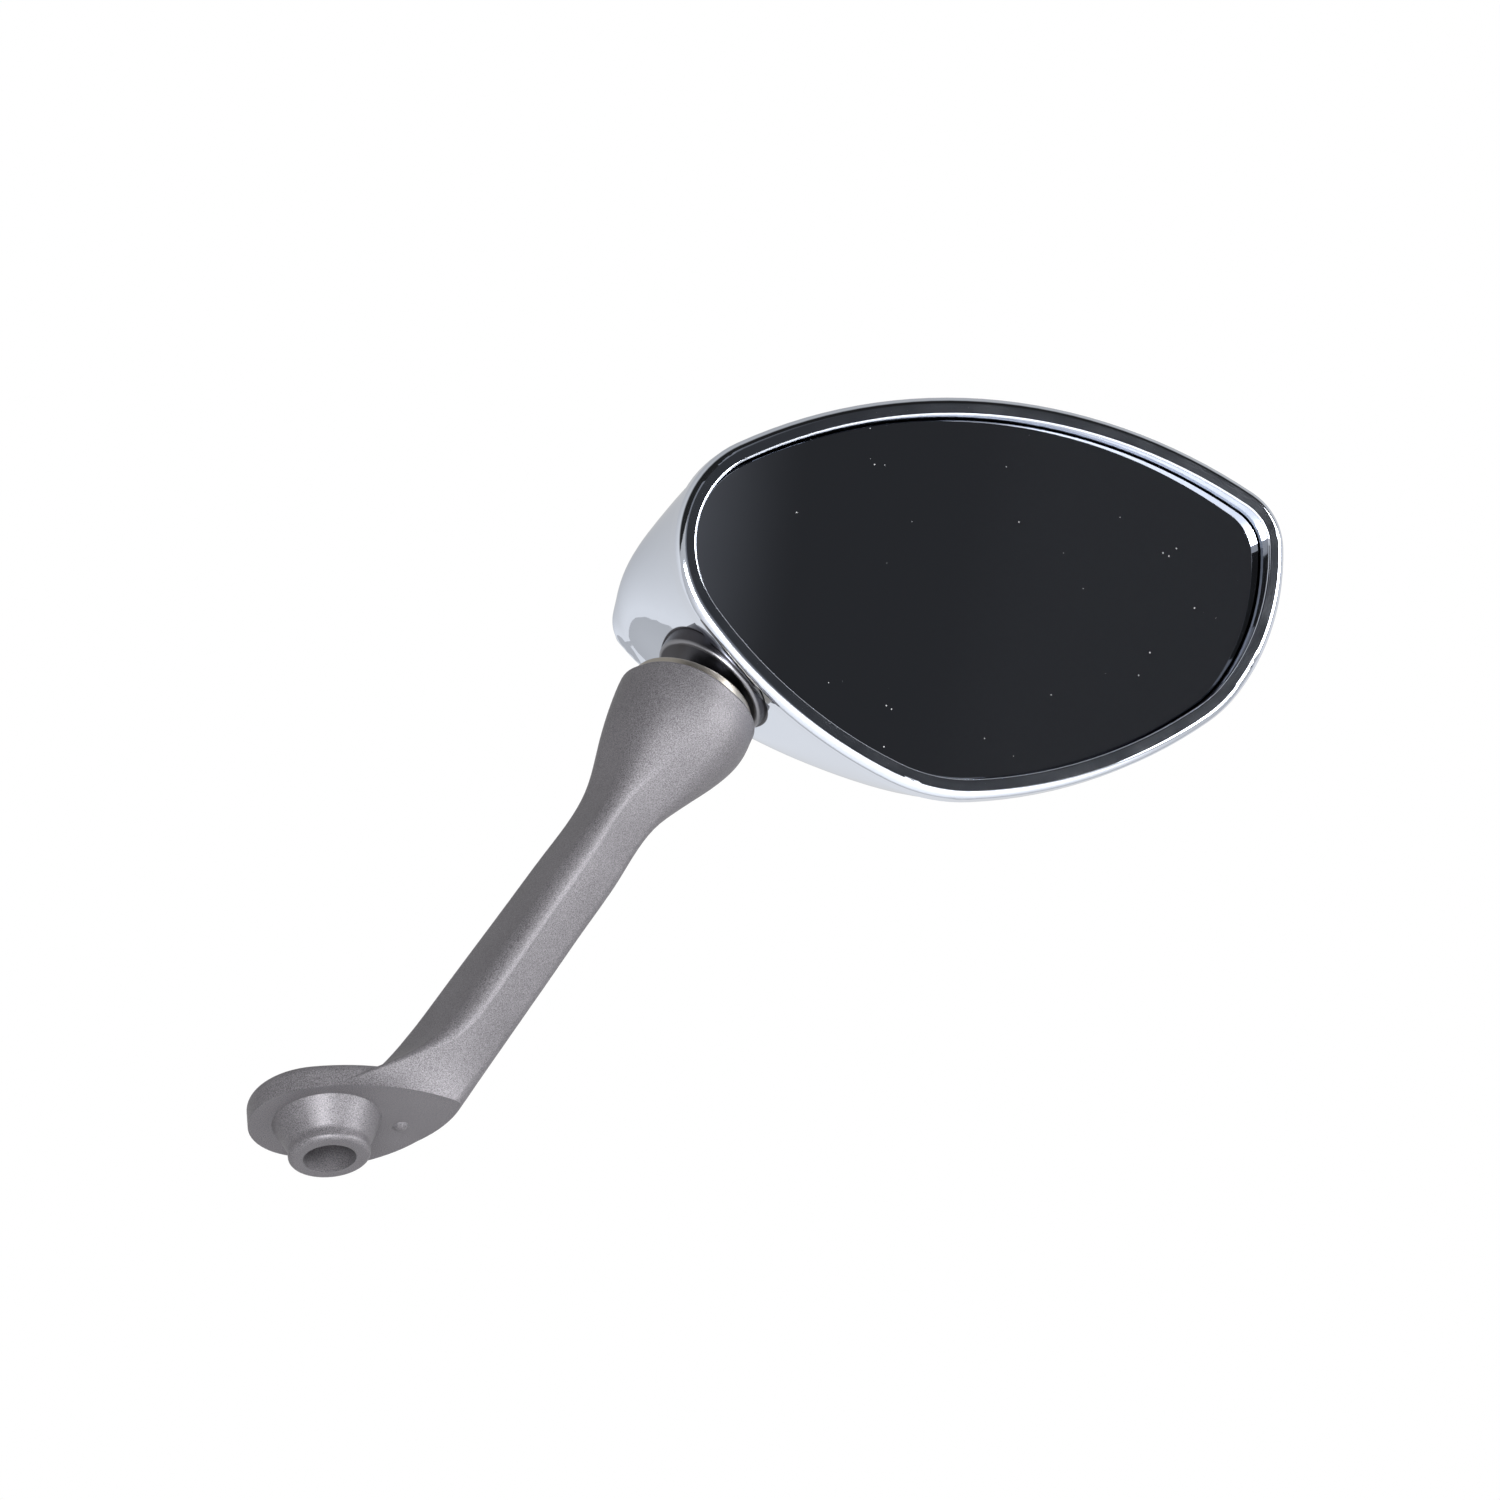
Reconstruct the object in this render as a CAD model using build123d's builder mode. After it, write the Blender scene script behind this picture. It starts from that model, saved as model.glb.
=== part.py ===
"""Right-hand motorcycle mirror: a cast arm, a spring-loaded ball joint and a chromed teardrop head.

Millimetres. The origin is where the foot's bore axis meets the seat face under the foot plate.
+Z runs up the bore axis, +X points outboard along the arm and -Y points back to the rider.
"""

import os
from math import cos, radians, sin, sqrt, tan

from build123d import *

os.makedirs("parts", exist_ok=True)

# Foot
bore_d = 11.0
plate_thickness = 6.0
plate_radius = 14.2
plate_shift = 2.0
plate_front = (14.5, -10.4)
plate_tip = (26.6, -1.6)
plate_back = (20.5, 9.6)
plate_heel = (6.5, 18.2)
plate_edge_radius = 2.4
plate_tip_radius = 4.0
boss_root_d = 22.6
boss_tip_d = 17.0
boss_length = 8.8
boss_land = 2.8
boss_waist_radius = 2.0
boss_lip_radius = 1.1
bolt_seat_d = 17.6
bolt_seat_depth = 0.6
pip_d = 3.5
pip_height = 0.9
pip_place = (15.0, 5.2)

# Arm: a bar with four ridges that leans outboard, spreads into the foot and swells into the socket cup
arm_foot = 15.6
arm_lean = 37.4
bar_side = 10.15
bar_side_taper = 0.84
bar_front = 12.2
bar_front_shift = 3.4
bar_front_drift = -0.03
bar_back = 10.4
bar_bulge = 0.4
bar_ridge_radius = 3.2
bar_side_radius = 3.4

# Spread of the bar's ridges at the seat face, and the heights and tilts of its slices
flare_height = 24.0
flare_power = 4
flare_left = -4.3
flare_tip = (-0.2, -1.6)
flare_front = (-22.0, -1.9)
flare_back = (-6.4, 5.4)
flare_bulge = 3.1
bar_slices = [(0, 0), (3, 4), (6, 8), (10, 13), (16, 20), (24, 27.5), (34, 27.5), (45, 27.5), (56, 27.5)]

# Socket cup at the top of the arm; each bell slice gives its depth, roundness and shift from the neck axis
mouth = (86.0, 0.0, 95.0)
neck_lean = 27.5
cup_shoulder_radius = 0.9
cup_shoulder_steps = [0, 25, 50, 70, 90]
bell_radius = 14.9
bell_corner = 0.94
bell_slices = [(30, 0.07, -3.7), (25.5, 0.23, -2.8), (21, 0.43, -2.0), (17, 0.62, -1.3), (12, 0.83, -0.5)]
bell_slices += [(7, 0.97, 0), (3.5, 1, 0)]

# Ball joint
ball_d = 21.0
ball_depth = 2.5
liner_thickness = 0.8
joint_clearance = 0.08
ring_wall = 3.4
ring_proud = 2.4
ring_depth = 2.5
ring_edge_radius = 0.5
liner_top = 6.2
liner_bottom = 10.2
seat_d = 17.6
seat_land = 0.22261
seat_bottom = 13.2
disc_spring_count = 3
disc_spring_thickness = 0.9
disc_spring_rise = 0.6
disc_spring_bore_d = 8.4
fit_clearance = 0.05

# Ball stud and its fixing inside the head: heights run from the ball's centre along the stud
stud_tilt = 15.0
stud_face = 8.9
stud_d = 8.0
stud_hole_clearance = 0.2
neck_boss_d = 27.0
neck_boss_flare = 0.8
neck_boss_height = 5.5
neck_boss_radius = 0.8
neck_pad_d = 17.0
neck_pad = 15.5
washer_d = 16.0
washer_thickness = 1.6
lock_washer_d = 13.6
lock_washer_thickness = 1.8
nut_across_flats = 13.0
nut_height = 6.5
stud_tail = 2.0

# Head: place of the rim plane's centre, and the way the glass faces
head_centre = (152.0, -6.1, 111.8)
head_turn = 17.7
head_dip = 24.7

# Rim outline: four arcs between corners that are then rounded
corner_inboard = (-76.1, 24.7)
corner_low = (-15.0, -43.8)
corner_outboard_low = (57.8, -27.8)
corner_outboard_high = (78.7, 17.8)
bulge_neck_side = 10.3
bulge_bottom = 5.9
bulge_outboard = 6.1
bulge_top = 25.3
round_inboard = 26.8
round_low = 42.0
round_outboard_low = 36.0
round_outboard_high = 14.2

# Housing shell
shell_depth = 31.9
shell_heart = (-82.0, 1.2)
shell_back_radius = 10.0
shell_start = 4.0
shell_step = 0.8
shell_wall = 2.4
rim_depth = 5.2
rim_width = 4.4
rim_outer_radius = 2.0
rim_inner_radius = 0.6

# Glass and what carries it
glass_gap = 0.25
glass_depth = 2.4
glass_thickness = 2.0
glass_curve = 1400.0
glass_reach = 82.0
glass_bevel = 0.4
pad_thickness = 1.0
pad_inset = 5.0
screw_places = [(-22.0, 30.0), (-8.0, -28.0), (52.0, 2.0)]
screw_d = 3.0
screw_length = 10.0
screw_head_d = 5.8
screw_head_height = 1.7
screw_seat = 1.0
screw_head_gap = 0.3
post_d = 7.5

# Directions and planes that the sizes above set
neck_dir = Vector(sin(radians(neck_lean)), 0, cos(radians(neck_lean)))
neck_side = Vector(cos(radians(neck_lean)), 0, -sin(radians(neck_lean)))
mouth_point = Vector(*mouth)
neck_axis = Axis(mouth_point, neck_dir)
neck_section = Plane(origin=mouth_point, x_dir=neck_side, z_dir=(0, -1, 0))

stud_lean = radians(neck_lean + stud_tilt)
stud_dir = Vector(sin(stud_lean), 0, cos(stud_lean))
stud_side = Vector(cos(stud_lean), 0, -sin(stud_lean))
ball_centre = mouth_point - neck_dir * ball_depth
stud_axis = Axis(ball_centre, stud_dir)
stud_section = Plane(origin=ball_centre, x_dir=stud_side, z_dir=(0, -1, 0))

glass_normal = Vector(
    sin(radians(head_turn)) * cos(radians(head_dip)),
    -cos(radians(head_turn)) * cos(radians(head_dip)),
    -sin(radians(head_dip)),
)
glass_right = Vector(1, 0, 0) - glass_normal * glass_normal.X
head_plane = Plane(origin=head_centre, x_dir=glass_right, z_dir=glass_normal)
head_axis = Axis(head_centre, glass_normal)
dome_section = Plane(origin=head_centre, x_dir=head_plane.x_dir, z_dir=-head_plane.y_dir)
dome_axis = Axis(head_plane.offset(-glass_depth - glass_curve).origin, head_plane.x_dir)

# Radius of the ball whose cap is the foot's stub
pip_sphere = (pip_d**2 / 4 + pip_height**2) / (2 * pip_height)

# Roundings of the bar's four ridges
bar_rounds = [bar_ridge_radius, bar_side_radius, bar_side_radius, bar_side_radius]

# Radii and heights along the neck and the stud that follow from the joint's sizes
ball_radius = ball_d / 2
liner_inner = ball_radius + joint_clearance
liner_outer = liner_inner + liner_thickness
socket_radius = liner_outer + joint_clearance
seat_top = sqrt(socket_radius**2 - (seat_d / 2 - seat_land) ** 2)
ball_well_depth = ball_depth + seat_top - 2 * fit_clearance
ring_d = 2 * (liner_inner + ring_wall)
spring_pitch = disc_spring_thickness + disc_spring_rise
seat_foot = ball_depth + seat_bottom
pocket_depth = seat_foot + disc_spring_count * spring_pitch
nut_start = neck_pad + washer_thickness + lock_washer_thickness
stud_end = nut_start + nut_height + stud_tail

# Depths behind the rim plane, from the glass to the backing plate's flat back
pad_depth = glass_depth + glass_thickness
backing_depth = pad_depth + pad_thickness
screw_reach = max(Vector(*place).length for place in screw_places)
screw_dip = glass_curve - sqrt(glass_curve**2 - screw_reach**2)
post_depth = backing_depth + screw_dip + screw_head_gap + screw_head_height + screw_seat
shell_shares = [0, 0.2, 0.38, 0.55, 0.7, 0.83, 0.92, 0.97]
hollow_depth = shell_depth - shell_wall


def neck_station(height):
    """Plane square to the neck axis, at a height above the cup's mouth."""
    return Plane(origin=mouth_point + neck_dir * height, x_dir=neck_side, z_dir=neck_dir)


def stud_station(height):
    """Plane square to the stud, at a height above the ball's centre."""
    return Plane(origin=ball_centre + stud_dir * height, x_dir=stud_side, z_dir=stud_dir)


def rounded_outline(plane, corners, bulges, rounds):
    """Closed outline of outward arcs between corners that are then rounded."""
    with BuildSketch(plane) as outline:
        with BuildLine():
            for start, end, bulge in zip(corners, corners[1:] + corners[:1], bulges):
                SagittaArc(start, end, -bulge)
        make_face()
        for corner, radius in zip(corners, rounds):
            fillet(outline.vertices().sort_by_distance(corner)[0], radius)
    return outline


def bar_corners(height, tilt):
    """Front, right, back and left ridges of the bar on a plane that leans by tilt, about the bar's axis."""
    slant = 1 / cos(radians(arm_lean - tilt))
    side = bar_side * slant * (1 - (1 - bar_side_taper) * height / mouth[2])
    spread = max(0, 1 - height / flare_height) ** flare_power
    front = (bar_front_shift + bar_front_drift * height) * slant
    return [
        (front + flare_front[0] * spread, -bar_front + flare_front[1] * spread),
        (side + flare_tip[0] * spread, flare_tip[1] * spread),
        (flare_back[0] * spread, bar_back + flare_back[1] * spread),
        (-side + flare_left * spread, 0),
    ]


def bar_slice(height, tilt):
    """Slice of the bar, at a height of its axis above the seat face."""
    spread = max(0, 1 - height / flare_height) ** flare_power
    foot = (arm_foot + height * tan(radians(arm_lean)), 0, height)
    lean = radians(tilt)
    plane = Plane(origin=foot, x_dir=(cos(lean), 0, -sin(lean)), z_dir=(sin(lean), 0, cos(lean)))
    swell = bar_bulge + flare_bulge * spread
    bulges = [swell, swell, bar_bulge, bar_bulge]
    return rounded_outline(plane, bar_corners(height, tilt), bulges, bar_rounds).sketch


def bell_slice(depth, roundness, shift, inset=0.0):
    """Slice under the cup's mouth, part bar and part round."""
    plane = neck_station(-depth)
    bar = bar_corners(mouth[2] - depth * neck_dir.Z, neck_lean)
    radius = bell_radius - inset
    reach = radius * sqrt(2)
    ring = [(0, -reach), (reach, 0), (0, reach), (-reach, 0)]
    corners = [
        (b[0] * (1 - roundness) + r[0] * roundness + shift, b[1] * (1 - roundness) + r[1] * roundness)
        for b, r in zip(bar, ring)
    ]
    rounds = [r * (1 - roundness) + radius * bell_corner * roundness for r in bar_rounds]
    return rounded_outline(plane, corners, [bar_bulge] * 4, rounds).sketch


def shoulder_slice(angle):
    """Slice of the rounded shoulder at the cup's mouth."""
    rise = cup_shoulder_radius * sin(radians(angle))
    inset = cup_shoulder_radius * (1 - cos(radians(angle)))
    return bell_slice(cup_shoulder_radius - rise, 1, 0, inset)


def head_outline(inset=0.0, depth=0.0, size=1.0, shift=0.0):
    """Teardrop outline of the head, parallel to the glass, scaled about the shell's heart."""
    heart = Vector(*shell_heart)
    corners = [corner_inboard, corner_low, corner_outboard_low, corner_outboard_high]
    bulges = [bulge_neck_side, bulge_bottom, bulge_outboard, bulge_top]
    rounds = [round_inboard, round_low, round_outboard_low, round_outboard_high]
    edges = rounded_outline(Plane.XY, corners, bulges, rounds).edges()
    if inset:
        edges = offset(edges, amount=-inset).edges()
    with BuildSketch(head_plane.offset(-depth)) as outline:
        with BuildLine():
            for edge in edges:
                arc = [heart + (edge @ share - heart) * size + Vector(shift, 0) for share in (0, 0.5, 1)]
                ThreePointArc(*arc)
        make_face()
    return outline.sketch


def shell_section(share, depth, inset):
    """One slice of the shell: a quarter ellipse outboard and a rounded back at the neck side."""
    into_round = max(0, (share - 1) * depth / shell_back_radius + 1)
    shift = shell_back_radius * (1 - sqrt(1 - into_round**2))
    return head_outline(inset, shell_start + share * depth, sqrt(1 - share**2), shift)


def domed_layer(depth, thickness):
    """Section of a layer that follows the glass's convex curve."""
    with BuildSketch(dome_section) as layer:
        with Locations((0, -glass_depth - glass_curve)):
            Circle(glass_curve - depth + glass_depth)
            Circle(glass_curve - depth + glass_depth - thickness, mode=Mode.SUBTRACT)
        Rectangle(2 * glass_reach, shell_depth, align=(Align.CENTER, Align.MAX), mode=Mode.INTERSECT)
    return layer.sketch


# The arm, cast in one piece with its foot and socket cup
with BuildPart() as arm:
    with BuildSketch(Plane.XY):
        with BuildLine():
            ThreePointArc((-plate_shift, -plate_radius), plate_front, plate_tip)
            ThreePointArc(plate_tip, plate_back, plate_heel)
            Line(plate_heel, (-plate_shift, plate_radius))
            Line((-plate_shift, plate_radius), (-plate_shift, -plate_radius))
        make_face()
        with Locations((-plate_shift, 0)):
            Circle(plate_radius)
    extrude(amount=plate_thickness)
    fillet(arm.edges().filter_by(Axis.Z).sort_by(Axis.X)[-1], plate_tip_radius)
    fillet(arm.faces().sort_by(Axis.Z)[-1].edges(), plate_edge_radius)
    bar = [bar_slice(*place) for place in bar_slices]
    bell = [bell_slice(*place) for place in bell_slices]
    shoulder = [shoulder_slice(angle) for angle in cup_shoulder_steps]
    loft(sections=bar + bell + shoulder[:1])
    loft(sections=shoulder)
    with BuildSketch(Plane.XZ):
        with BuildLine():
            land_top = -(boss_length - boss_land)
            Line((0, plate_thickness / 2), (0, -boss_length))
            Line((0, -boss_length), (boss_tip_d / 2, -boss_length))
            Line((boss_tip_d / 2, -boss_length), (boss_tip_d / 2, land_top))
            Line((boss_tip_d / 2, land_top), (boss_root_d / 2, 0))
            Line((boss_root_d / 2, 0), (boss_root_d / 2, plate_thickness / 2))
            Line((boss_root_d / 2, plate_thickness / 2), (0, plate_thickness / 2))
        boss = make_face()
        fillet(boss.vertices().sort_by_distance((boss_tip_d / 2, land_top))[0], boss_waist_radius)
    revolve(axis=Axis.Z)
    fillet(arm.faces().sort_by(Axis.Z)[0].edges(), boss_lip_radius)
    with Locations((*pip_place, pip_sphere - pip_height)):
        Sphere(pip_sphere)
    with BuildSketch(Plane.XY.offset(-boss_length)):
        Circle(bore_d / 2)
    extrude(amount=boss_length + plate_thickness, mode=Mode.SUBTRACT)
    with BuildSketch(Plane.XY.offset(plate_thickness - bolt_seat_depth)):
        Circle(bolt_seat_d / 2)
    extrude(amount=boss_length + plate_thickness, mode=Mode.SUBTRACT)
    with BuildSketch(neck_section):
        with BuildLine():
            Polyline(
                (0, ring_depth),
                (ring_d / 2 + fit_clearance, ring_depth),
                (ring_d / 2 + fit_clearance, -ring_depth),
                (socket_radius + joint_clearance, -ring_depth),
                (socket_radius + joint_clearance, -ball_well_depth),
                (seat_d / 2 + fit_clearance, -ball_well_depth),
                (seat_d / 2 + fit_clearance, -pocket_depth),
                (0, -pocket_depth),
                close=True,
            )
        make_face()
    revolve(axis=neck_axis, mode=Mode.SUBTRACT)
arm.part.label = "arm"
export_step(arm.part, "parts/arm.step")

# Bare metal ring screwed into the cup's mouth: it holds the ball down
with BuildPart() as retaining_ring:
    with BuildSketch(neck_section):
        with Locations((0, -ring_depth)):
            Rectangle(ring_d / 2, ring_depth + ring_proud, align=(Align.MIN, Align.MIN))
        with Locations((0, -ball_depth)):
            Circle(liner_inner, mode=Mode.SUBTRACT)
    revolve(axis=neck_axis)
    fillet(retaining_ring.edges().sort_by(neck_axis)[-1], ring_edge_radius)
retaining_ring.part.label = "retaining_ring"
export_step(retaining_ring.part, "parts/retaining_ring.step")

# Conical spring washers at the bottom of the cup, set back to back
for number in range(disc_spring_count):
    low = -pocket_depth + number * spring_pitch
    inner_rise, outer_rise = (disc_spring_rise, 0) if number % 2 == 0 else (0, disc_spring_rise)
    with BuildPart() as disc_spring:
        with BuildSketch(neck_section):
            with BuildLine():
                Polyline(
                    (disc_spring_bore_d / 2, low + inner_rise),
                    (seat_d / 2 - fit_clearance, low + outer_rise),
                    (seat_d / 2 - fit_clearance, low + outer_rise + disc_spring_thickness),
                    (disc_spring_bore_d / 2, low + inner_rise + disc_spring_thickness),
                    close=True,
                )
            make_face()
        revolve(axis=neck_axis)
    disc_spring.part.label = f"disc_spring_{number + 1}"
    export_step(disc_spring.part, f"parts/disc_spring_{number + 1}.step")

# Dished plastic seat that the springs press up under the ball
with BuildPart() as lower_ball_seat:
    with BuildSketch(neck_section):
        with Locations((0, -seat_foot)):
            Rectangle(seat_d / 2, seat_bottom - seat_top, align=(Align.MIN, Align.MIN))
        with Locations((0, -ball_depth)):
            Circle(socket_radius, mode=Mode.SUBTRACT)
    revolve(axis=neck_axis)
lower_ball_seat.part.label = "lower_ball_seat"
export_step(lower_ball_seat.part, "parts/lower_ball_seat.step")

# Thin plastic liner between the ball and its seats
with BuildPart() as ball_liner:
    with BuildSketch(neck_section):
        with Locations((0, -ball_depth)):
            Circle(liner_outer)
            Circle(liner_inner, mode=Mode.SUBTRACT)
        with Locations((0, -ball_depth - liner_bottom)):
            Rectangle(
                liner_outer, liner_bottom - liner_top, align=(Align.MIN, Align.MIN), mode=Mode.INTERSECT
            )
    revolve(axis=neck_axis)
ball_liner.part.label = "ball_liner"
export_step(ball_liner.part, "parts/ball_liner.step")

# Chromed ball with a threaded shank that runs up into the head
with BuildPart() as ball_stud:
    with BuildSketch(stud_section):
        Circle(ball_radius)
        with Locations((0, -liner_bottom)):
            Rectangle(
                ball_radius, liner_bottom + stud_face, align=(Align.MIN, Align.MIN), mode=Mode.INTERSECT
            )
        Rectangle(stud_d / 2, stud_end, align=(Align.MIN, Align.MIN))
    revolve(axis=stud_axis)
    chamfer(ball_stud.edges().sort_by(stud_axis)[-1], stud_d / 10)
ball_stud.part.label = "ball_stud"
export_step(ball_stud.part, "parts/ball_stud.step")

# Plain washer, split washer and nut that hold the stud to the head from inside
with BuildPart() as stud_washer:
    with BuildSketch(stud_station(neck_pad)):
        Circle(washer_d / 2)
        Circle(stud_d / 2 + fit_clearance, mode=Mode.SUBTRACT)
    extrude(amount=washer_thickness)
stud_washer.part.label = "stud_washer"
export_step(stud_washer.part, "parts/stud_washer.step")

with BuildPart() as lock_washer:
    with BuildSketch(stud_station(neck_pad + washer_thickness)):
        Circle(lock_washer_d / 2)
        Circle(stud_d / 2 + fit_clearance, mode=Mode.SUBTRACT)
        with Locations((lock_washer_d / 2, 0)):
            Rectangle(lock_washer_d, lock_washer_thickness / 2, mode=Mode.SUBTRACT)
    extrude(amount=lock_washer_thickness)
lock_washer.part.label = "lock_washer"
export_step(lock_washer.part, "parts/lock_washer.step")

with BuildPart() as stud_nut:
    with BuildSketch(stud_station(nut_start)):
        RegularPolygon(nut_across_flats / 2, 6, major_radius=False)
        Circle(stud_d / 2 + fit_clearance, mode=Mode.SUBTRACT)
    extrude(amount=nut_height)
stud_nut.part.label = "stud_nut"
export_step(stud_nut.part, "parts/stud_nut.step")

# The hollow inside the head, with the screw posts and the stud's pad left standing in it
with BuildPart() as head_hollow:
    loft(sections=[shell_section(share, hollow_depth, shell_step + shell_wall) for share in shell_shares])
    with BuildSketch(head_plane.offset(-post_depth)):
        with Locations(*screw_places):
            Circle(post_d / 2)
    extrude(amount=-shell_depth, mode=Mode.SUBTRACT)
    with BuildSketch(stud_station(stud_face)):
        Circle(neck_pad_d / 2)
    extrude(amount=neck_pad - stud_face, mode=Mode.SUBTRACT)

# One-piece chromed housing: bead rim, hollow shell and neck boss
with BuildPart() as housing:
    loft(sections=[shell_section(share, shell_depth, shell_step) for share in shell_shares])
    with BuildSketch(stud_section):
        with BuildLine():
            Polyline(
                (0, stud_face),
                (neck_boss_d / 2, stud_face),
                (neck_boss_d / 2 + neck_boss_flare, stud_face + neck_boss_height),
                (neck_pad_d / 2, neck_pad),
                (0, neck_pad),
                close=True,
            )
        make_face()
    revolve(axis=stud_axis)
    fillet(housing.faces().sort_by(stud_axis)[0].edges(), neck_boss_radius)
    add(head_hollow.part, mode=Mode.SUBTRACT)
    extrude(head_outline(), amount=-rim_depth)
    fillet(housing.faces().sort_by(head_axis)[-1].edges(), rim_outer_radius)
    extrude(head_outline(inset=rim_width), amount=-rim_depth, mode=Mode.SUBTRACT)
    fillet(housing.faces().sort_by(head_axis)[-1].inner_wires()[0].edges(), rim_inner_radius)
    with BuildSketch(stud_station(stud_face)):
        Circle(stud_d / 2 + stud_hole_clearance)
    extrude(amount=neck_pad - stud_face, mode=Mode.SUBTRACT)
    with BuildSketch(head_plane.offset(-post_depth)):
        with Locations(*screw_places):
            Circle(screw_d / 2 + fit_clearance)
    extrude(amount=-screw_length, mode=Mode.SUBTRACT)
housing.part.label = "housing"
export_step(housing.part, "parts/housing.step")

# Convex mirror glass
with BuildPart() as mirror_glass:
    revolve(domed_layer(glass_depth, glass_thickness), axis=dome_axis)
    extrude(head_outline(inset=rim_width + glass_gap), amount=-shell_depth, mode=Mode.INTERSECT)
    chamfer(mirror_glass.faces().sort_by(head_axis)[-1].edges(), glass_bevel)
mirror_glass.part.label = "mirror_glass"
export_step(mirror_glass.part, "parts/mirror_glass.step")

# Foam tape that bonds the glass to its backing plate
with BuildPart() as adhesive_pad:
    revolve(domed_layer(pad_depth, pad_thickness), axis=dome_axis)
    extrude(head_outline(inset=rim_width + pad_inset), amount=-shell_depth, mode=Mode.INTERSECT)
adhesive_pad.part.label = "adhesive_pad"
export_step(adhesive_pad.part, "parts/adhesive_pad.step")

# Backing plate: domed front under the glass, flat back on the screw posts
with BuildPart() as backing_plate:
    revolve(domed_layer(backing_depth, post_depth), axis=dome_axis)
    backing_size = sqrt(1 - ((post_depth - shell_start) / hollow_depth) ** 2)
    backing_outline = head_outline(inset=rim_width + glass_gap, size=backing_size)
    extrude(backing_outline, amount=-post_depth, mode=Mode.INTERSECT)
    with BuildSketch(head_plane.offset(-post_depth)):
        with Locations(*screw_places):
            Circle(screw_d / 2 + fit_clearance)
    extrude(amount=post_depth, mode=Mode.SUBTRACT)
    with BuildSketch(head_plane.offset(screw_seat - post_depth)):
        with Locations(*screw_places):
            Circle(screw_head_d / 2 + fit_clearance)
    extrude(amount=post_depth, mode=Mode.SUBTRACT)
backing_plate.part.label = "backing_plate"
export_step(backing_plate.part, "parts/backing_plate.step")

# Three screws that hold the backing plate to the posts
for number, place in enumerate(screw_places, 1):
    with BuildPart() as backing_screw:
        with BuildSketch(head_plane.offset(screw_seat - post_depth)):
            with Locations(place):
                Circle(screw_head_d / 2)
        extrude(amount=screw_head_height)
        with BuildSketch(head_plane.offset(screw_seat - post_depth)):
            with Locations(place):
                Circle(screw_d / 2)
        extrude(amount=-screw_length)
    backing_screw.part.label = f"backing_screw_{number}"
    export_step(backing_screw.part, f"parts/backing_screw_{number}.step")
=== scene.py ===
# %% [markdown]
# # A motorcycle mirror
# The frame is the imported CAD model: a cast arm, a ball joint and a hollow chromed head.
# Its solids already have the right shapes, apart from one small flat on the shell's back that a cap
# rounds off. So this lesson is mostly about finishes, light and camera.

# %% Load the frame
from math import asin, atan2, cos, pi, radians, sin, sqrt

import bpy
from mathutils import Matrix, Vector


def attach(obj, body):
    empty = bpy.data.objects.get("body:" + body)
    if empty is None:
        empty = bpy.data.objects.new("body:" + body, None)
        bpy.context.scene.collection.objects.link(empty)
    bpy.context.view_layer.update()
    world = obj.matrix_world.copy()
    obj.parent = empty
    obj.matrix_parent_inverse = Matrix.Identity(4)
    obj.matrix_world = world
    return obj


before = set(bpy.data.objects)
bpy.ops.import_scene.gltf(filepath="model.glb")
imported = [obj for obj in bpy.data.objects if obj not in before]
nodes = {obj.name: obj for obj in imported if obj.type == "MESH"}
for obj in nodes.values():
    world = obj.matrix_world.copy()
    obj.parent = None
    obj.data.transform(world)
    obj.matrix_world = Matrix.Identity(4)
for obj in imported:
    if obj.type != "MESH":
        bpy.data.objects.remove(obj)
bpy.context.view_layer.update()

# %% [markdown]
# ## Helpers
# Real sizes are in millimetres and Blender works in metres. Colours are written as they look on
# a screen, and Blender mixes them as linear light, so one function turns one into the other.
# A second small function adds a shader node, sets it and links it. The rest start a material,
# give it to CAD nodes and make a new mesh.

# %% Units, colours, nodes and meshes
MM = 0.001


def linear(code):
    """Linear colour of an sRGB hex code."""
    parts = [int(code[k:k + 2], 16) / 255 for k in (1, 3, 5)]
    return tuple(p / 12.92 if p <= 0.04045 else ((p + 0.055) / 1.055) ** 2.4 for p in parts) + (1.0,)


def put(tree, kind, inputs=None, **settings):
    """Adds a node: inputs are values or sockets to link, settings are the node's own options."""
    node = tree.nodes.new(kind)
    for name, value in settings.items():
        setattr(node, name, value)
    for name, value in (inputs or {}).items():
        if isinstance(value, bpy.types.NodeSocket):
            tree.links.new(value, node.inputs[name])
        else:
            node.inputs[name].default_value = value
    return node


def finish_named(name):
    """An empty node material with its surface shader linked to the output."""
    material = bpy.data.materials.new(name)
    material.use_nodes = True
    tree = material.node_tree
    tree.nodes.clear()
    shader = put(tree, "ShaderNodeBsdfPrincipled")
    put(tree, "ShaderNodeOutputMaterial", {"Surface": shader.outputs["BSDF"]})
    return material, tree, shader


def dress(material, *names):
    """Gives CAD nodes a finish in every material slot they have."""
    for name in names:
        for slot in nodes[name].material_slots:
            slot.material = material
    print(material.name, "->", ", ".join(names))


def mesh_object(name, points, faces):
    """A new mesh object, linked into the scene."""
    mesh = bpy.data.meshes.new(name)
    mesh.from_pydata([tuple(point) for point in points], [], faces)
    thing = bpy.data.objects.new(name, mesh)
    bpy.context.scene.collection.objects.link(thing)
    return thing


# %% [markdown]
# ## Arm: satin metallic paint on a casting
# The arm is cast in light alloy and sprayed with a silver-grey metallic paint. Flakes in the paint
# give a fine grain that sparkles, and the casting under it is never quite flat. Noise at the
# flake's size drives the colour and roughness, a coarser noise bumps the surface, and a third,
# coarser still, lets the tone drift a little from place to place.

# %% Painted casting
FLAKE = 0.22 * MM  # a real flake is near 0.05 mm, too fine to show, so it is drawn coarser
CAST_SKIN = 1.6 * MM
SPRAY_DRIFT = 14 * MM
FLAKE_HEIGHT = 0.04 * MM
SKIN_HEIGHT = 0.12 * MM

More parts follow.
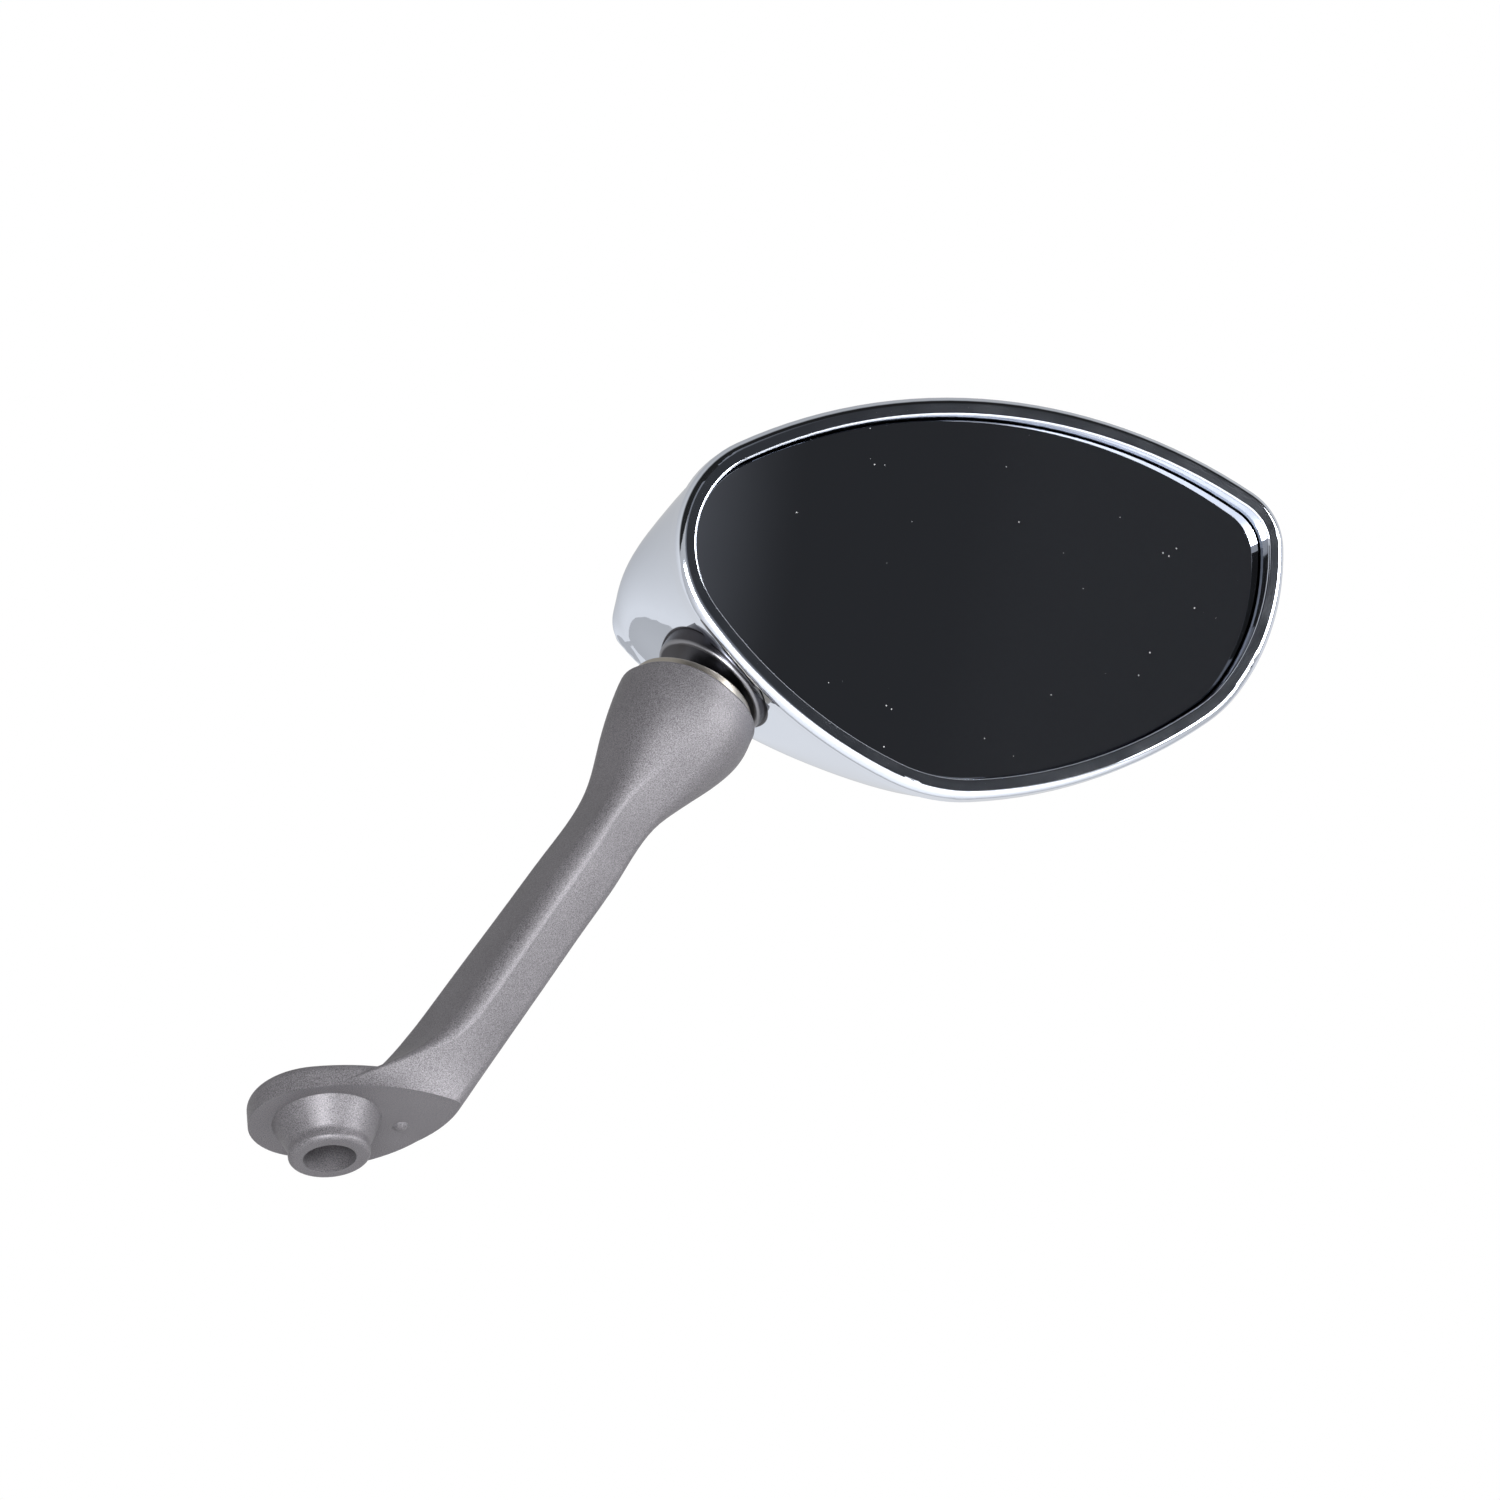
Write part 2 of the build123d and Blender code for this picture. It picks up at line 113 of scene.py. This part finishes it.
arm_paint, tree, shader = finish_named("satin_metallic_paint")
place = put(tree, "ShaderNodeTexCoord").outputs["Object"]
flakes = put(
    tree,
    "ShaderNodeTexNoise",
    {"Vector": place, "Scale": 1 / FLAKE, "Detail": 2.0, "Roughness": 0.6},
).outputs["Fac"]
skin = put(
    tree, "ShaderNodeTexNoise", {"Vector": place, "Scale": 1 / CAST_SKIN, "Detail": 3.0}
).outputs["Fac"]
drift = put(
    tree, "ShaderNodeTexNoise", {"Vector": place, "Scale": 1 / SPRAY_DRIFT, "Detail": 2.0}
).outputs["Fac"]
spark = put(tree, "ShaderNodeMapRange", {"Value": flakes, "From Min": 0.3, "From Max": 0.72})
grain = put(
    tree,
    "ShaderNodeMix",
    {"Factor": spark.outputs["Result"], "A": linear("#413f43"), "B": linear("#807e82")},
    data_type="RGBA",
)
shade = put(
    tree,
    "ShaderNodeMapRange",
    {"Value": drift, "From Min": 0.25, "From Max": 0.75, "To Min": 0.92, "To Max": 1.06},
)
tone = put(
    tree,
    "ShaderNodeMix",
    {"Factor": 1.0, "A": grain.outputs["Result"], "B": shade.outputs["Result"]},
    data_type="RGBA",
    blend_type="MULTIPLY",
)
tree.links.new(tone.outputs["Result"], shader.inputs["Base Color"])
rough = put(
    tree,
    "ShaderNodeMapRange",
    {"Value": flakes, "From Min": 0.3, "From Max": 0.7, "To Min": 0.44, "To Max": 0.56},
)
tree.links.new(rough.outputs["Result"], shader.inputs["Roughness"])
bump_fine = put(
    tree, "ShaderNodeBump", {"Height": flakes, "Strength": 0.12, "Distance": FLAKE_HEIGHT}
).outputs["Normal"]
bump = put(
    tree,
    "ShaderNodeBump",
    {"Height": skin, "Strength": 0.15, "Distance": SKIN_HEIGHT, "Normal": bump_fine},
)
tree.links.new(bump.outputs["Normal"], shader.inputs["Normal"])
shader.inputs["Metallic"].default_value = 0.55
dress(arm_paint, "arm")

# %% [markdown]
# ## Retaining ring: bare turned steel
# The ring is turned on a lathe and left bare, so fine rings run round it. A wave in rings about
# the neck axis gives them. The Mapping node turns the pattern so that its axis is the neck.

# %% Turned steel
NECK_LEAN = radians(27.5)
MOUTH = Vector((86.0, 0.0, 95.0)) * MM
TURNING = 0.3 * MM
WAVE_PITCH = 0.314  # distance between a wave texture's bands at scale 1
GROOVE_DEPTH = 0.02 * MM

ring_steel, tree, shader = finish_named("turned_bare_steel")
place = put(tree, "ShaderNodeTexCoord").outputs["Object"]
square = put(
    tree,
    "ShaderNodeMapping",
    {"Vector": place, "Location": MOUTH, "Rotation": (0, NECK_LEAN, 0)},
    vector_type="TEXTURE",
).outputs["Vector"]
lathe = put(
    tree,
    "ShaderNodeTexWave",
    {"Vector": square, "Scale": WAVE_PITCH / TURNING, "Distortion": 0.6, "Detail": 2.0},
    wave_type="RINGS",
    rings_direction="Z",
).outputs["Fac"]
colour = put(
    tree,
    "ShaderNodeMix",
    {"Factor": lathe, "A": linear("#928c85"), "B": linear("#b0aaa1")},
    data_type="RGBA",
)
tree.links.new(colour.outputs["Result"], shader.inputs["Base Color"])
rough = put(tree, "ShaderNodeMapRange", {"Value": lathe, "To Min": 0.2, "To Max": 0.34})
tree.links.new(rough.outputs["Result"], shader.inputs["Roughness"])
bump = put(tree, "ShaderNodeBump", {"Height": lathe, "Strength": 0.2, "Distance": GROOVE_DEPTH})
tree.links.new(bump.outputs["Normal"], shader.inputs["Normal"])
shader.inputs["Metallic"].default_value = 1.0
dress(ring_steel, "retaining_ring")

# %% [markdown]
# ## Head and ball: bright chrome
# Chrome over moulded plastic mirrors whatever stands round it, with a cool cast. A very slow,
# shallow wave bends the reflections a little, as plating on a moulding does, and a faint film
# of handling lifts the roughness in patches.

# %% Chrome plating
MOULD_WAVE = 22 * MM
FILM_PATCH = 9 * MM
HEAD_CHROME = "#e2e8f3"
STEEL_CHROME = "#e2e4e8"


def chrome(name, colour_code, wave_depth):
    """Bright plating with slow waves and patches of faint haze."""
    material, tree, shader = finish_named(name)
    place = put(tree, "ShaderNodeTexCoord").outputs["Object"]
    haze = put(
        tree, "ShaderNodeTexNoise", {"Vector": place, "Scale": 1 / FILM_PATCH, "Detail": 4.0}
    ).outputs["Fac"]
    wave = put(
        tree, "ShaderNodeTexNoise", {"Vector": place, "Scale": 1 / MOULD_WAVE, "Detail": 0.0}
    ).outputs["Fac"]
    rough = put(
        tree,
        "ShaderNodeMapRange",
        {"Value": haze, "From Min": 0.35, "From Max": 0.75, "To Min": 0.025, "To Max": 0.07},
    ).outputs["Result"]
    tree.links.new(rough, shader.inputs["Roughness"])
    bump = put(tree, "ShaderNodeBump", {"Height": wave, "Strength": 0.25, "Distance": wave_depth})
    tree.links.new(bump.outputs["Normal"], shader.inputs["Normal"])
    shader.inputs["Base Color"].default_value = linear(colour_code)
    shader.inputs["Metallic"].default_value = 1.0
    return material, tree, shader, rough


dress(chrome("chrome_on_steel", STEEL_CHROME, 0.02 * MM)[0], "ball_stud")
head_chrome, tree, shader, film = chrome("chrome_on_moulded_plastic", HEAD_CHROME, 0.12 * MM)
dress(head_chrome, "housing")

# %% [markdown]
# ## Collar at the neck: painted reflection and highlight
# The short chrome collar round the ball mirrors the dark front, and its rounded lip catches a thin
# line of light. It is part of the same moulding, so a mask paints both into the colour: dull dark
# grey as a painted dark reflection, and a paler lip as a painted highlight. The Mapping node turns
# the pattern onto the stud's axis, and the distance from that axis and the height along it tell the
# collar from the bright shell.

# %% Collar with painted dark reflection and painted lip highlight
STUD_LEAN = radians(42.5)
BALL_CENTRE = Vector((84.846, 0.0, 92.782)) * MM
COLLAR_RADIUS = 14.4 * MM
COLLAR_TOP = 15.0 * MM
COLLAR_LIP = Vector((13.5, 8.9, 0.0)) * MM  # distance from the axis, then height along it
LIP_WIDTH = 0.9 * MM
EDGE = 0.2 * MM
COLLAR_ROUGHNESS = 0.32

place = put(tree, "ShaderNodeTexCoord").outputs["Object"]
square = put(
    tree,
    "ShaderNodeMapping",
    {"Vector": place, "Location": BALL_CENTRE, "Rotation": (0, STUD_LEAN, 0)},
    vector_type="TEXTURE",
).outputs["Vector"]
along = put(tree, "ShaderNodeSeparateXYZ", {"Vector": square}).outputs["Z"]
flat = put(
    tree, "ShaderNodeVectorMath", {0: square, 1: (1, 1, 0)}, operation="MULTIPLY"
).outputs["Vector"]
radius = put(tree, "ShaderNodeVectorMath", {0: flat}, operation="LENGTH").outputs["Value"]
inside, below = [
    put(
        tree,
        "ShaderNodeMapRange",
        {"Value": measure, "From Min": end, "From Max": end + EDGE, "To Min": 1.0, "To Max": 0.0},
    ).outputs["Result"]
    for measure, end in ((radius, COLLAR_RADIUS), (along, COLLAR_TOP))
]
# Mask of the painted dark reflection on the collar.
collar = put(tree, "ShaderNodeMath", {0: inside, 1: below}, operation="MULTIPLY").outputs[0]
spot = put(tree, "ShaderNodeCombineXYZ", {"X": radius, "Y": along}).outputs["Vector"]
to_lip = put(
    tree, "ShaderNodeVectorMath", {0: spot, 1: COLLAR_LIP}, operation="DISTANCE"
).outputs["Value"]
# Painted highlight: a thin paler band along the lip's rounded edge, where it catches light.
lip_highlight = put(
    tree,
    "ShaderNodeMapRange",
    {"Value": to_lip, "From Min": LIP_WIDTH / 2, "From Max": LIP_WIDTH, "To Min": 1.0, "To Max": 0.0},
).outputs["Result"]
# Dull dark grey is a painted reflection of the dark front, and the paler lip is a painted highlight.
painted_reflection_tone = put(
    tree,
    "ShaderNodeMix",
    {"Factor": lip_highlight, "A": linear("#4c4b50"), "B": linear("#8e8e93")},
    data_type="RGBA",
).outputs["Result"]
colour = put(
    tree,
    "ShaderNodeMix",
    {"Factor": collar, "A": linear(HEAD_CHROME), "B": painted_reflection_tone},
    data_type="RGBA",
)
tree.links.new(colour.outputs["Result"], shader.inputs["Base Color"])
dull = put(tree, "ShaderNodeMath", {0: collar, 1: COLLAR_ROUGHNESS}, operation="MULTIPLY").outputs[0]
rough = put(tree, "ShaderNodeMath", {0: film, 1: dull}, operation="MAXIMUM")
tree.links.new(rough.outputs[0], shader.inputs["Roughness"])
print("collar radius", COLLAR_RADIUS)

# %% [markdown]
# ## Crown of the shell
# The shell is a skin over a stack of slices, and the last slice leaves a small flat on its back.
# Chrome shows a flat at once, so a low cap carries the curve on over it. The cap starts at the
# flat's border, read from the housing's mesh, and its rings follow the same rule as the slices:
# each is the outline made smaller about one point and moved away from the neck.

# %% Shell crown
HEAD_CENTRE = Vector((152.0, -6.1, 111.8)) * MM
HEAD_TURN = radians(17.7)
HEAD_DIP = radians(24.7)
SHELL_HEART = Vector((-82.0, 1.2)) * MM
SHELL_START = 4.0 * MM
SHELL_DEPTH = 31.9 * MM
BACK_RADIUS = 10.0 * MM
LAST_SLICE = 0.97  # share of the depth where the solid ends
CROWN_RINGS = 24
SAME_PLACE = 0.01 * MM

glass_normal = Vector((sin(HEAD_TURN) * cos(HEAD_DIP), -cos(HEAD_TURN) * cos(HEAD_DIP), -sin(HEAD_DIP)))
head_right = (Vector((1, 0, 0)) - glass_normal * glass_normal.x).normalized()
head_up = glass_normal.cross(head_right)


def slice_middle(share):
    """Middle of a slice in the head's own plane: it moves off the neck round the back's radius."""
    into_round = 1 - (1 - share) * SHELL_DEPTH / BACK_RADIUS
    return SHELL_HEART + Vector((BACK_RADIUS * (1 - sqrt(1 - into_round ** 2)), 0))


def slice_size(share):
    """How much smaller a slice is than the head's outline."""
    return sqrt(1 - share ** 2)


def slice_point(reach, share):
    """Point of the shell for a reach of the outline, at a share of the shell's depth."""
    spot = slice_middle(share) + reach * slice_size(share)
    depth = SHELL_START + share * SHELL_DEPTH
    return HEAD_CENTRE + head_right * spot.x + head_up * spot.y - glass_normal * depth


flat_depth = SHELL_START + LAST_SLICE * SHELL_DEPTH
offsets = [vertex.co - HEAD_CENTRE for vertex in nodes["housing"].data.vertices]
on_flat = [o for o in offsets if abs(o.dot(glass_normal) + flat_depth) < SAME_PLACE]
spots = [Vector((o.dot(head_right), o.dot(head_up))) - slice_middle(LAST_SLICE) for o in on_flat]
mean_x = sum(spot.x for spot in spots) / len(spots)
spots.sort(key=lambda spot: atan2(spot.y, spot.x - mean_x))
reaches = [
    spot / slice_size(LAST_SLICE)
    for spot, before in zip(spots, spots[-1:] + spots[:-1])
    if (spot - before).length > SAME_PLACE
]

start = asin(LAST_SLICE)
shares = [sin(start + (pi / 2 - start) * ring / CROWN_RINGS) for ring in range(CROWN_RINGS)]
points = [slice_point(reach, share) for share in shares for reach in reaches]
points.append(slice_point(Vector((0, 0)), 1.0))
count = len(reaches)
faces = []
for ring in range(CROWN_RINGS):
    for k in range(count):
        here, beside = ring * count + k, ring * count + (k + 1) % count
        above = (here + count, beside + count) if ring < CROWN_RINGS - 1 else (len(points) - 1,)
        faces.append((beside, here, *above))
crown = mesh_object("shell_crown", points, faces)
crown.data.shade_smooth()
crown.data.materials.append(head_chrome)
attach(crown, "head")
print("crown border points", count, "faces", len(faces))

# %% [markdown]
# ## Glass: tinted convex mirror
# The glass is silvered on its back and tinted dark. It is a mirror first, so it is made as a very
# smooth metal with a grey colour, and a few specks of dust lie on it as small rough spots.

# %% Mirror glass
DUST_SPACING = 5 * MM
SPECK_CORE = 0.02  # radii of a speck, as shares of the spacing
SPECK_EDGE = 0.042

glass_mirror, tree, shader = finish_named("tinted_mirror_glass")
place = put(tree, "ShaderNodeTexCoord").outputs["Object"]
specks = put(
    tree,
    "ShaderNodeTexVoronoi",
    {"Vector": place, "Scale": 1 / DUST_SPACING, "Randomness": 1.0},
    feature="F1",
).outputs["Distance"]
dust = put(
    tree,
    "ShaderNodeMapRange",
    {"Value": specks, "From Min": SPECK_CORE, "From Max": SPECK_EDGE, "To Min": 1.0, "To Max": 0.0},
).outputs["Result"]
colour = put(
    tree,
    "ShaderNodeMix",
    {"Factor": dust, "A": linear("#bec1c8"), "B": linear("#9a9a9a")},
    data_type="RGBA",
)
tree.links.new(colour.outputs["Result"], shader.inputs["Base Color"])
rough = put(tree, "ShaderNodeMapRange", {"Value": dust, "To Min": 0.015, "To Max": 0.7})
tree.links.new(rough.outputs["Result"], shader.inputs["Roughness"])
shader.inputs["Metallic"].default_value = 1.0
dress(glass_mirror, "mirror_glass")

# %% [markdown]
# ## Hidden pieces
# The pieces inside are seen only when the head is taken apart. They still get honest finishes:
# zinc-plated steel, unpainted bearing plastic, black moulded plastic and foam tape.

# %% Inner finishes


def grained(name, dark, light, grain_size, roughness, metallic=0.0, depth=0.05 * MM):
    """A two-tone grained finish for small inner pieces."""
    material, tree, shader = finish_named(name)
    place = put(tree, "ShaderNodeTexCoord").outputs["Object"]
    grain = put(
        tree, "ShaderNodeTexNoise", {"Vector": place, "Scale": 1 / grain_size, "Detail": 3.0}
    ).outputs["Fac"]
    colour = put(
        tree,
        "ShaderNodeMix",
        {"Factor": grain, "A": linear(dark), "B": linear(light)},
        data_type="RGBA",
    )
    tree.links.new(colour.outputs["Result"], shader.inputs["Base Color"])
    bump = put(tree, "ShaderNodeBump", {"Height": grain, "Strength": 0.2, "Distance": depth})
    tree.links.new(bump.outputs["Normal"], shader.inputs["Normal"])
    shader.inputs["Roughness"].default_value = roughness
    shader.inputs["Metallic"].default_value = metallic
    return material


zinc = grained("zinc_plated_steel", "#9a9a98", "#bdbdba", 0.5 * MM, 0.32, metallic=1.0)
springs_and_screws = [name for name in nodes if name.startswith(("disc_spring", "backing_screw"))]
dress(zinc, "stud_washer", "lock_washer", "stud_nut", *springs_and_screws)
bearing = grained("bearing_plastic", "#d8d6cc", "#e6e4da", 0.8 * MM, 0.4)
dress(bearing, "lower_ball_seat", "ball_liner")
dress(grained("moulded_black_plastic", "#17171a", "#232327", 0.4 * MM, 0.5), "backing_plate")
dress(grained("foam_tape", "#1b1b1b", "#2c2c2c", 0.3 * MM, 0.9, depth=0.1 * MM), "adhesive_pad")

# %% [markdown]
# ## Stage
# The photograph has a plain white ground, so a pale floor lies well below the camera. A black card
# stands where the glass looks, as a photographer sets one to keep a mirror dark. It fades to grey
# at one side, which leaves the soft light patch at the glass's inner end.

# %% Floor and card
FLOOR_Z = -0.62
FLOOR_HALF = 6.0
CARD_WAY = Vector((0.592, -0.777, -0.211)).normalized()
CARD_DISTANCE = 0.8
CARD_SIZE = 0.62
CARD_DARK = 0.045
CARD_GREY = 0.25
FADE_START = 0.08  # metres from the card's middle
FADE_END = 0.22


def flat_sheet(name, middle, across, upward):
    """A single four-cornered face, from its middle and half of each side."""
    corners = [middle + across * a + upward * b for a, b in ((-1, -1), (1, -1), (1, 1), (-1, 1))]
    sheet = mesh_object(name, corners, [(0, 1, 2, 3)])
    return sheet


floor_middle = Vector((0, 0, FLOOR_Z))
floor = flat_sheet("floor", floor_middle, Vector((FLOOR_HALF, 0, 0)), Vector((0, FLOOR_HALF, 0)))
floor_paint, tree, shader = finish_named("pale_floor")
shader.inputs["Base Color"].default_value = linear("#fafafa")
shader.inputs["Roughness"].default_value = 0.9
floor.data.materials.append(floor_paint)

across = CARD_WAY.cross(Vector((0, 0, 1))).normalized()
upward = across.cross(CARD_WAY).normalized()
middle = HEAD_CENTRE + CARD_WAY * CARD_DISTANCE
card = flat_sheet("black_card", middle, across * (CARD_SIZE / 2), upward * (CARD_SIZE / 2))
# The card glows faintly, dark in the middle and grey at one side. It paints the glass's dark reflection
# and its soft light patch.
glowing_card_finish = bpy.data.materials.new("glowing_reflection_card")
glowing_card_finish.use_nodes = True
tree = glowing_card_finish.node_tree
tree.nodes.clear()
place = put(tree, "ShaderNodeTexCoord").outputs["Object"]
aside = put(
    tree, "ShaderNodeVectorMath", {0: place, 1: across}, operation="DOT_PRODUCT"
).outputs["Value"]
fade = put(
    tree,
    "ShaderNodeMapRange",
    {
        "Value": aside,
        "From Min": middle.dot(across) + FADE_START,
        "From Max": middle.dot(across) + FADE_END,
        "To Min": CARD_DARK,
        "To Max": CARD_GREY,
    },
    interpolation_type="SMOOTHSTEP",
).outputs["Result"]
glow = put(tree, "ShaderNodeEmission", {"Color": linear("#e9edf6"), "Strength": fade})
put(tree, "ShaderNodeOutputMaterial", {"Surface": glow.outputs["Emission"]})
card.data.materials.append(glowing_card_finish)
# Only reflections see the card: it neither lights nor shades anything.
card.visible_camera = False
card.visible_shadow = False
card.visible_diffuse = False
print("floor at", FLOOR_Z, "card at", [round(v, 3) for v in middle])

# %% [markdown]
# ## World
# The camera sees a plain white world. Chrome has no colour of its own: it shows the room. So
# reflections see a second room, pale behind and beside the mirror, dimmer overhead and dark on the
# camera's side, as in a studio whose lamps light the back wall. It gives the rim its black and
# white lines. The Light Path node tells which kind of ray is asking.

# %% World
DARK_SIDE = Vector((0.3, -0.87, -0.4)).normalized()
DARK_FROM = 0.1  # cosines of the angle to the dark side
DARK_FULL = 0.5
ROOM_PALE = 0.85
ROOM_DARK = 0.02
OVERHEAD = 0.55  # share of the room's light that is left straight above
MATT_LIGHT = 0.55  # what the world gives to surfaces that don't mirror it

world = bpy.data.worlds.new("white_studio")
bpy.context.scene.world = world
world.use_nodes = True
tree = world.node_tree
tree.nodes.clear()
path = put(tree, "ShaderNodeLightPath").outputs
way = put(tree, "ShaderNodeTexCoord").outputs["Generated"]
facing = put(
    tree, "ShaderNodeVectorMath", {0: way, 1: DARK_SIDE}, operation="DOT_PRODUCT"
).outputs["Value"]
room = put(
    tree,
    "ShaderNodeMapRange",
    {
        "Value": facing,
        "From Min": DARK_FROM,
        "From Max": DARK_FULL,
        "To Min": ROOM_PALE,
        "To Max": ROOM_DARK,
    },
    interpolation_type="SMOOTHSTEP",
).outputs["Result"]
height = put(tree, "ShaderNodeSeparateXYZ", {"Vector": way}).outputs["Z"]
dim = put(
    tree, "ShaderNodeMapRange", {"Value": height, "To Min": 1.0, "To Max": OVERHEAD}
).outputs["Result"]
pale = put(tree, "ShaderNodeMath", {0: room, 1: dim}, operation="MULTIPLY").outputs[0]
glossy = put(
    tree,
    "ShaderNodeMath",
    {0: path["Is Glossy Ray"], 1: path["Is Transmission Ray"]},
    operation="MAXIMUM",
).outputs[0]
level = put(
    tree, "ShaderNodeMix", {"Factor": glossy, "A": MATT_LIGHT, "B": pale}
).outputs["Result"]
seen = put(tree, "ShaderNodeMath", {0: level, 1: path["Is Camera Ray"]}, operation="MAXIMUM")
sky = put(tree, "ShaderNodeBackground", {"Color": (1, 1, 1, 1), "Strength": seen.outputs[0]})
put(tree, "ShaderNodeOutputWorld", {"Surface": sky.outputs["Background"]})
print("world", world.name)

# %% [markdown]
# ## Light
# The bar's right face is bright and its left face is dark, so the main soft lamp stands to the
# right. A second soft lamp near the camera puts the broad sheen on the bell and the boss. A weak
# lamp behind keeps the far side of the arm readable, and chrome doesn't mirror it.

# %% Soft lamps
ARM_MIDDLE = Vector((60, 0, 60)) * MM


def soft_lamp(name, spot, size, watts):
    """A square area lamp at a spot, turned to the middle of the arm."""
    data = bpy.data.lights.new(name, "AREA")
    data.shape = "SQUARE"
    data.size = size
    data.energy = watts
    lamp = bpy.data.objects.new(name, data)
    lamp.location = spot
    lamp.rotation_euler = (ARM_MIDDLE - Vector(spot)).to_track_quat("-Z", "Y").to_euler()
    bpy.context.scene.collection.objects.link(lamp)
    print("lamp", name, watts, "W")
    return lamp


soft_lamp("key_right", (1.0, -0.5, -0.1), 0.7, 17.0)
soft_lamp("front_soft", (-0.1, -0.95, -0.45), 0.5, 17.0)
fill = soft_lamp("back_fill", (-0.4, 1.0, 0.4), 0.8, 9.0)
fill.visible_glossy = False

# %% [markdown]
# ## Camera
# The camera was solved from the photograph's ellipses of the bore, boss and plate. It stands behind
# and below the mirror and looks up at it through a long lens.

# %% Camera
CAMERA_SPOT = Vector((22.06, -789.09, -456.92)) * MM
CAMERA_RIGHT = Vector((0.9921, -0.0103, -0.1248))
CAMERA_UP = Vector((0.0970, -0.5675, 0.8176))
LENS = 105.6
SENSOR = 36.0

view = bpy.data.cameras.new("photo_view")
view.lens = LENS
view.sensor_width = SENSOR
view.clip_start = 0.01
camera = bpy.data.objects.new("photo_view", view)
back = CAMERA_RIGHT.cross(CAMERA_UP).normalized()
turn = Matrix((CAMERA_RIGHT.normalized(), back.cross(CAMERA_RIGHT).normalized(), back)).transposed()
camera.matrix_world = Matrix.Translation(CAMERA_SPOT) @ turn.to_4x4()
bpy.context.scene.collection.objects.link(camera)
bpy.context.scene.camera = camera
bpy.context.scene.view_settings.view_transform = "Standard"
print("camera at", [round(v, 3) for v in CAMERA_SPOT])
